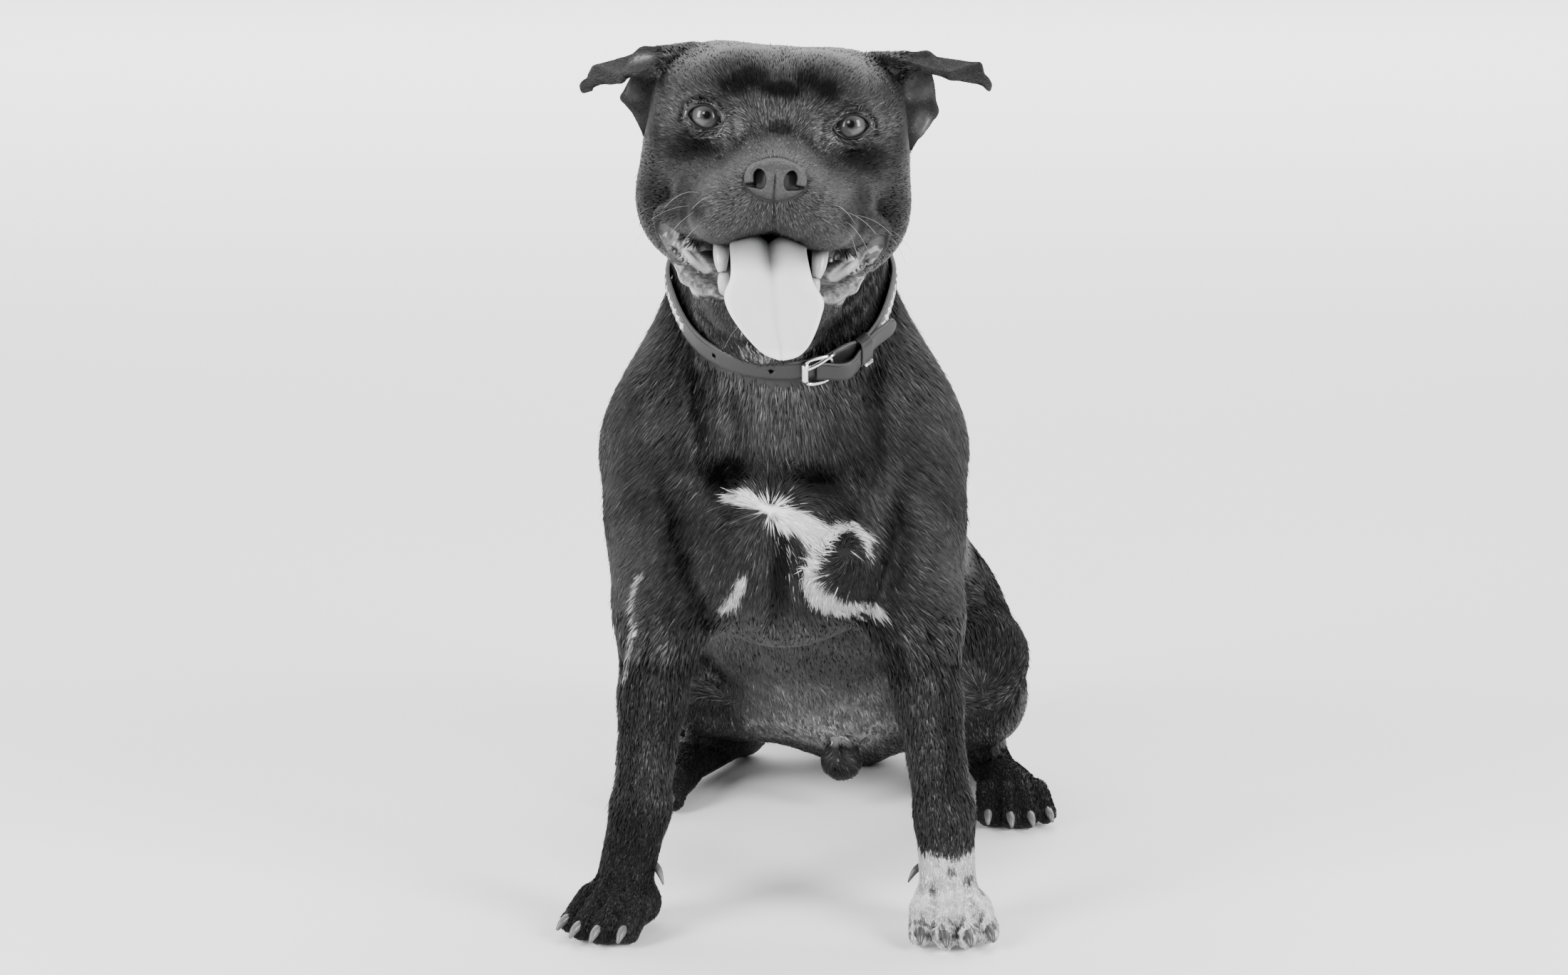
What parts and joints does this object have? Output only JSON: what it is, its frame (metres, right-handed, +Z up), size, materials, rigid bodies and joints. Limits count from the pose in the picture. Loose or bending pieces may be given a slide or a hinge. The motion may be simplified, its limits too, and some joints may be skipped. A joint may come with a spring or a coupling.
{
  "type": "sitting dog model",
  "caption": "Life-size still model of a short-coated bull-terrier type dog, sitting with its head up and mouth open, in a buckled leather collar.",
  "frame": {"origin": "on the floor under the middle of the dog's box", "axes": "+Z up, the dog looks along -Y, its left side is +X"},
  "size_m": [0.3172, 0.5682, 0.5264],
  "materials": {
    "coat": "short glossy black coat",
    "white_coat": "short white coat",
    "nose_leather": "moist, fine grain",
    "tongue": "wet",
    "eye": "polished",
    "claw": "smooth horn",
    "strap_leather": "waxed",
    "buckle_metal": "polished"
  },
  "bodies": {
    "root": {"chest": "coat", "collar_buckle": "buckle_metal", "collar_keeper": "strap_leather", "collar_prong": "buckle_metal", "collar_strap": "strap_leather", "dewclaw_left": "claw", "dewclaw_right": "claw", "ear_left": "coat", "ear_right": "coat", "eye_left": "eye", "eye_right": "eye", "fore_claw_left_inner_a": "claw", "fore_claw_left_inner_b": "claw", "fore_claw_left_outer_a": "claw", "fore_claw_left_outer_b": "claw", "fore_claw_right_inner_a": "claw", "fore_claw_right_inner_b": "claw", "fore_claw_right_outer_a": "claw", "fore_claw_right_outer_b": "claw", "forearm_left": "coat", "forearm_right": "coat", "forepaw_left": "white_coat", "forepaw_right": "coat", "head": "coat", "hind_claw_left_inner_a": "claw", "hind_claw_left_inner_b": "claw", "hind_claw_left_outer_a": "claw", "hind_claw_left_outer_b": "claw", "hind_claw_right_inner_a": "claw", "hind_claw_right_inner_b": "claw", "hind_claw_right_outer_a": "claw", "hind_claw_right_outer_b": "claw", "hind_paw_left": "coat", "hind_paw_right": "coat", "loin": "coat", "lower_jaw": "coat", "neck": "coat", "nose": "nose_leather", "rump": "coat", "shank_left": "coat", "shank_right": "coat", "tail": "coat", "thigh_left": "coat", "thigh_right": "coat", "tongue": "tongue", "upper_arm_left": "coat", "upper_arm_right": "coat"}
  },
  "joints": []
}
